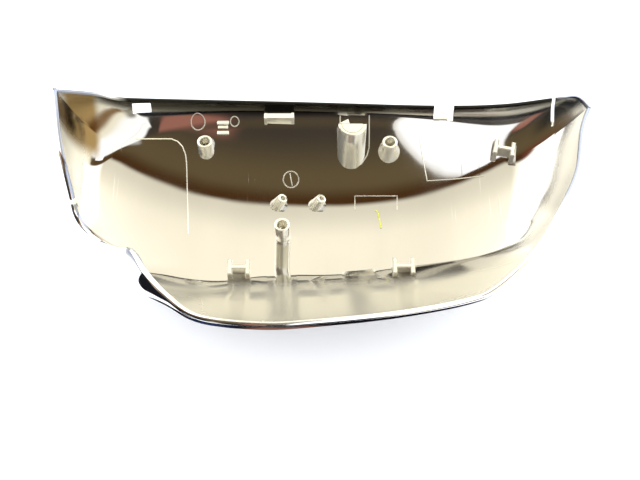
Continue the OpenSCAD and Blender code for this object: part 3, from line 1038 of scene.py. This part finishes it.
# Raised lines that the mould's inserts leave on the inner face: points in millimetres
MOULD_LINES_MM = {
    "step": [(-92.9, 51.3), (-75.1, 51.4), (-72.1, 50.3), (-69.7, 48.1), (-68.1, 44.5),
             (-67.6, 40.8), (-66.7, 23.5), (-65.4, 4.5)],
    "recess": [(46.9, 51.9), (48.8, 42.2), (50.6, 32.3), (64.3, 32.7), (77.9, 33.6)],
    "bridge": [(15.1, 18.8), (15.2, 25.9), (35.8, 25.4), (35.6, 18.2)],
    "lifter": [(7.9, 61.5), (7.9, 54.8), (7.9, 47.4), (9.9, 43), (12.8, 40), (15.3, 39),
               (18.5, 41), (21.2, 44.7), (22.2, 47.9), (22.2, 56.8), (22.2, 61.5)],
    "dial slot": [(-16.8, 36.8), (-15.6, 31)],
}

# Raised rings: x, y and radius of each
MOULD_RINGS_MM = [(-62, 58.5, 3.4), (-44, 58.8, 2.1), (-16.3, 33.9, 3.8)]
RING_POINTS = 28
PEN_MARK_MM = [(25, 18.5), (26.3, 17.5), (27, 13), (27.6, 9)]


def lines_tree():
    """Follows each path with a thin round bead, set just into the face that it lies on"""
    tree = bpy.data.node_groups.new("raised lines", "GeometryNodeTree")
    face = tree.interface
    face.new_socket("Paths", in_out="INPUT", socket_type="NodeSocketGeometry")
    radius = face.new_socket("Radius", in_out="INPUT", socket_type="NodeSocketFloat")
    radius.default_value = 0.3 * MM
    sides = face.new_socket("Sides", in_out="INPUT", socket_type="NodeSocketInt")
    sides.default_value = 6
    face.new_socket("Finish", in_out="INPUT", socket_type="NodeSocketMaterial")
    face.new_socket("Beads", in_out="OUTPUT", socket_type="NodeSocketGeometry")
    nodes = tree.nodes
    given = nodes.new("NodeGroupInput")
    result = nodes.new("NodeGroupOutput")
    paths = nodes.new("GeometryNodeMeshToCurve")
    profile = nodes.new("GeometryNodeCurvePrimitiveCircle")
    sweep = nodes.new("GeometryNodeCurveToMesh")
    sweep.inputs["Fill Caps"].default_value = True
    smooth = nodes.new("GeometryNodeSetShadeSmooth")
    real = nodes.new("GeometryNodeRealizeInstances")
    paint = nodes.new("GeometryNodeSetMaterial")
    for source, gives, target, takes in (
            (given, "Paths", paths, "Mesh"), (given, "Radius", profile, "Radius"),
            (given, "Sides", profile, "Resolution"), (paths, "Curve", sweep, "Curve"),
            (profile, "Curve", sweep, "Profile Curve"), (sweep, "Mesh", smooth, "Geometry"),
            (smooth, "Geometry", real, "Geometry"), (real, "Geometry", paint, "Geometry"),
            (given, "Finish", paint, "Material"), (paint, "Geometry", result, "Beads")):
        tree.links.new(source.outputs[gives], target.inputs[takes])
    return tree


def path_points(points, gap=1.2):
    """Fills in a path at even steps, in millimetres"""
    out = []
    for (ax, ay), (bx, by) in zip(points, points[1:]):
        count = max(1, int(math.hypot(bx - ax, by - ay) / gap))
        out += [(ax + (bx - ax) * k / count, ay + (by - ay) * k / count) for k in range(count)]
    return out + [points[-1]]


def add_path(verts, edges, points, closed=False):
    """Adds one path to the lists, its points in millimetres laid on the inner face"""
    start = len(verts)
    verts += [(x * MM, y * MM, inner_height(x * MM, y * MM)) for x, y in points]
    edges += [(k, k + 1) for k in range(start, len(verts) - 1)]
    if closed:
        edges.append((len(verts) - 1, start))


def beads_along(name, verts, edges, radius, material):
    """Sweeps the raised lines' group along the paths and keeps the result as one piece"""
    mesh = bpy.data.meshes.new(name + "_paths")
    mesh.from_pydata(verts, edges, [])
    paths = bpy.data.objects.new(name + "_paths", mesh)
    bpy.context.scene.collection.objects.link(paths)
    tree = bpy.data.node_groups.get("raised lines") or lines_tree()
    swept = paths.modifiers.new("Raised lines", "NODES")
    swept.node_group = tree
    given = {"Radius": radius, "Finish": material}
    for item in tree.interface.items_tree:
        if item.item_type == "SOCKET" and item.in_out == "INPUT" and item.name in given:
            swept[item.identifier] = given[item.name]
    evaluated = paths.evaluated_get(bpy.context.evaluated_depsgraph_get())
    beads = bpy.data.meshes.new_from_object(evaluated)
    beads.name = name
    bpy.data.objects.remove(paths)
    if not beads.polygons:
        raise RuntimeError(name + " came out empty")
    beads.materials.clear()
    new_piece(name, beads, [material])


class COVER_OT_mould_lines(bpy.types.Operator):
    """Make the thin raised lines, rings and the slotted dial left by the mould's inserts"""

    bl_idname = "cover.mould_lines"
    bl_label = "Mould lines"

    def execute(self, context):
        verts, edges = [], []
        for points in MOULD_LINES_MM.values():
            add_path(verts, edges, path_points(points))
        turns = [2 * math.pi * k / RING_POINTS for k in range(RING_POINTS)]
        for x, y, r in MOULD_RINGS_MM:
            ring = [(x + r * math.cos(t), y + r * math.sin(t)) for t in turns]
            add_path(verts, edges, ring, closed=True)
        beads_along("mould_lines", verts, edges, context.scene.cover_sizes.line_radius,
                    finish("fittings plating"))
        return {"FINISHED"}


class COVER_OT_pen_mark(bpy.types.Operator):
    """Make the short yellow-green pen mark on the inner face"""

    bl_idname = "cover.pen_mark"
    bl_label = "Pen mark"

    def execute(self, context):
        verts, edges = [], []
        add_path(verts, edges, path_points(PEN_MARK_MM, gap=0.8))
        beads_along("pen_mark", verts, edges, context.scene.cover_sizes.pen_radius, pen_ink())
        return {"FINISHED"}


# Studio: what the plating mirrors in each direction x, y, z. Side is how far a direction is to
# either side, and lip follows the soft box's lower edge, which rises a little to the sides
LIP_RISE = 0.12
ROOM_PATCHES = [
    # Dark brown along the soft box, and dull brown behind the camera
    ([("y", -0.15, 0.05)], (0.1, 0.042, 0.012)),
    ([("y", -0.2, -0.62)], (0.065, 0.053, 0.042)),
    # Red-brown, then nearly black, which the pointed end mirrors
    ([("x", -0.25, -0.45), ("y", -0.2, -0.03)], (0.24, 0.07, 0.033)),
    ([("x", -0.3, -0.5), ("y", -0.15, -0.35)], (0.03, 0.027, 0.02)),
    # Pinkish, to the left behind the camera
    ([("x", -0.045, -0.075), ("x", -0.24, -0.16), ("y", -0.42, -0.55)], (0.5, 0.21, 0.15)),
    # Bright on the right, with a brown strip along the soft box
    ([("x", 0.09, 0.15)], (1.7, 1.7, 1.65)),
    ([("lip", -0.2, -0.1), ("x", 0.03, 0.1)], (0.15, 0.085, 0.03)),
    # White sheets low all round, with something brown before them on the right
    ([("z", 0.58, 0.45)], (1.4, 1.3, 1.02)),
    ([("x", 0.4, 0.5), ("y", -0.45, -0.6), ("z", 0.42, 0.32)], (0.3, 0.15, 0.04)),
]
SOFT_BOX_LIMITS = [("lip", 0.055, 0.12)]
SOFT_BOX_SIDE = (1.62, 1.6, 1.5)

# A cool dim band along the horizon, and nearly black low down behind the camera and on the left
HORIZON_PATCH = ([("z", 0.12, 0.06), ("z", -0.12, -0.06)], (0.3, 0.36, 0.48))
BLACK_PLACES = [[("y", -0.45, -0.6), ("side", 0.5, 0.3)], [("y", -0.15, -0.28), ("x", -0.3, -0.5)],
                [("x", -0.9, -0.95), ("y", 0.25, 0.15)]]
BLACK_BELOW = [("z", 0.6, 0.5)]
NEAR_BLACK = (0.01, 0.01, 0.014)

# What the camera sees beyond the floor, and the even light that falls on everything
BACKDROP = (1.0, 1.0, 1.0)
SKYLIGHT = (1.85, 1.9, 1.98)

# Cards that only the plating mirrors: corners, height, colour and patches
CARDS = {
    # Black, with a navy part and a pinkish brown part along X on its near side
    "dark card": (
        [(-0.092, -0.04), (-0.3, -1.2), (0.35, -1.2), (0.1, -0.03)], 0.0006, (0.008, 0.008, 0.01),
        [([("x", -0.08, -0.064), ("x", -0.044, -0.054), ("y", -0.14, -0.11)], (0.032, 0.044, 0.1)),
         ([("x", -0.044, -0.03), ("x", 0.008, -0.01), ("y", -0.14, -0.11)], (0.24, 0.115, 0.085))]),
    # Black, a little bluer far out
    "dark side card": (
        [(-0.12, -0.052), (-0.5, 0.0), (-1.4, 0.45), (-2.9, 1.2), (-2.9, -1.5), (-0.1, -0.2)],
        0.0004, (0.012, 0.012, 0.016), [([("x", -0.3, -0.5)], (0.02, 0.022, 0.03))]),
    # Grey, bluer far out
    "far card": (
        [(-0.4, -0.19), (-1.4, -0.3), (-1.4, 1.2), (-0.5, 1.2)],
        0.0002, (0.85, 0.87, 0.9), [([("x", -0.4, -0.7)], (0.45, 0.5, 0.6))]),
    # A lamp over the pointed end, softer along its left side
    "lamp card": (
        [(0.062, -0.42), (0.35, -0.42), (0.35, 0.04), (0.062, 0.04)],
        0.5, (1.3, 1.25, 1.15), [([("x", 0.062, 0.076)], (1.8, 1.8, 1.8))]),
}

# The floor lies a hair lower than the cover
FLOOR_HALF = 3
FLOOR_HEIGHT = -0.0002
CAMERA_PLACE = (-0.002, -0.2236, 0.4291)
CAMERA_AIM = (-0.002, -0.0055, 0.019)
LENS_MM = 56.25
SENSOR_MM = 36


def studio_world(context):
    """White light all round; the plating mirrors a soft box in front and a dim room behind"""
    look = context.scene.cover_look
    world = bpy.data.worlds.new("studio")
    context.scene.world = world
    world.use_nodes = True
    tree = world.node_tree
    places = coordinates(tree, "Generated")
    side = maths(tree, "ABSOLUTE", places["x"])
    lip = maths(tree, "SUBTRACT", places["y"], maths(tree, "MULTIPLY", side, LIP_RISE))
    places.update(side=side, lip=lip)

    # The soft box is stronger and whiter towards its sides, and stronger higher up
    gain = maths(tree, "ADD", span(tree, lip, 0.1, 0.55, 0.72, 1.0),
                 span(tree, side, 0.1, 0.4, 0.0, 0.6))
    cream = blend(tree, span(tree, side, 0.1, 0.5), tuple(look.soft_box), SOFT_BOX_SIDE)
    soft_box = vector_maths(tree, "SCALE", cream, gain)
    room = painted(tree, tuple(look.room), places, ROOM_PATCHES)
    mirrored = painted(tree, room, places, [(SOFT_BOX_LIMITS, soft_box), HORIZON_PATCH])
    black = strongest(tree, [mask(tree, places, limits) for limits in BLACK_PLACES])
    black = maths(tree, "MULTIPLY", black, mask(tree, places, BLACK_BELOW))
    mirrored = blend(tree, black, mirrored, NEAR_BLACK)

    ray = tree.nodes.new("ShaderNodeLightPath")
    plain = blend(tree, ray.outputs["Is Diffuse Ray"], BACKDROP, SKYLIGHT)
    background = tree.nodes["Background"]
    background.inputs["Strength"].default_value = 1.0
    tree.links.new(blend(tree, ray.outputs["Is Glossy Ray"], plain, mirrored),
                   background.inputs["Color"])


def mirrored_card(name, corners, height, colour, patches):
    """A glowing card on the stage that only the plating's mirror images see"""
    def build(bm):
        bm.faces.new([bm.verts.new((x, y, height)) for x, y in corners])

    mesh = mesh_from(name, build, closed=False)
    card = bpy.data.objects.new(name, mesh)
    bpy.context.scene.collection.objects.link(card)
    card.visible_camera = False
    card.visible_diffuse = False
    card.visible_shadow = False
    material, tree, shader = new_material(name)
    tree.nodes.remove(shader)
    glow = tree.nodes.new("ShaderNodeEmission")
    painting = painted(tree, colour, coordinates(tree, "Object"), patches)
    tree.links.new(painting, glow.inputs["Color"])
    tree.links.new(glow.outputs[0], tree.nodes["Material Output"].inputs["Surface"])
    mesh.materials.append(material)


def paper_floor(scene):
    """A large matt floor that keeps the cover's shadow"""
    def build(bm):
        bmesh.ops.create_grid(bm, x_segments=1, y_segments=1, size=FLOOR_HALF)

    mesh = mesh_from("floor", build, closed=False)
    floor = bpy.data.objects.new("floor", mesh)
    floor.location.z = FLOOR_HEIGHT
    scene.collection.objects.link(floor)
    material, _, shader = new_material("paper floor")
    shader.inputs["Base Color"].default_value = (*scene.cover_look.paper, 1)
    shader.inputs["Roughness"].default_value = 1.0
    shader.inputs["Specular IOR Level"].default_value = 0.0
    mesh.materials.append(material)


class COVER_OT_stage(bpy.types.Operator):
    """Make the pale floor, the studio light and the camera"""

    bl_idname = "cover.stage"
    bl_label = "Stage"

    def execute(self, context):
        scene = context.scene
        paper_floor(scene)
        studio_world(context)
        for name, card in CARDS.items():
            mirrored_card(name, *card)
        camera = bpy.data.cameras.new("camera")
        camera.sensor_width = SENSOR_MM
        camera.lens = LENS_MM
        seat = bpy.data.objects.new("camera", camera)
        seat.location = CAMERA_PLACE
        view = Vector(CAMERA_AIM) - seat.location
        seat.rotation_euler = view.to_track_quat("-Z", "Y").to_euler()
        scene.collection.objects.link(seat)
        scene.camera = seat
        scene.view_settings.view_transform = "Standard"
        return {"FINISHED"}


class COVER_PT_panel(bpy.types.Panel):
    """Lists the cover's pieces and sizes"""

    bl_idname = "COVER_PT_panel"
    bl_label = "Mirror Cover"
    bl_space_type = "VIEW_3D"
    bl_region_type = "UI"
    bl_category = "Mirror Cover"

    def draw(self, context):
        layout = self.layout
        for group in (context.scene.cover_sizes, context.scene.cover_look):
            for name in group.__annotations__:
                layout.prop(group, name)
        for operator in OPERATORS:
            layout.operator(operator.bl_idname)


OPERATORS = (COVER_OT_shell, COVER_OT_bosses, COVER_OT_pegs, COVER_OT_clips, COVER_OT_column,
             COVER_OT_edge_fittings, COVER_OT_mould_lines, COVER_OT_pen_mark,
             COVER_OT_stage)
CLASSES = (CoverSizes, CoverLook, *OPERATORS, COVER_PT_panel)


def register():
    for cls in CLASSES:
        bpy.utils.register_class(cls)
    bpy.types.Scene.cover_sizes = PointerProperty(type=CoverSizes)
    bpy.types.Scene.cover_look = PointerProperty(type=CoverLook)


def unregister():
    del bpy.types.Scene.cover_look
    del bpy.types.Scene.cover_sizes
    for cls in reversed(CLASSES):
        bpy.utils.unregister_class(cls)


def main():
    """Builds the cover and its stage"""
    register()
    bpy.ops.cover.shell()
    bpy.ops.cover.bosses()
    bpy.ops.cover.pegs()
    bpy.ops.cover.clips()
    bpy.ops.cover.column()
    bpy.ops.cover.edge_fittings()
    bpy.ops.cover.mould_lines()
    bpy.ops.cover.pen_mark()
    bpy.ops.cover.stage()


if __name__ == "__main__":
    main()
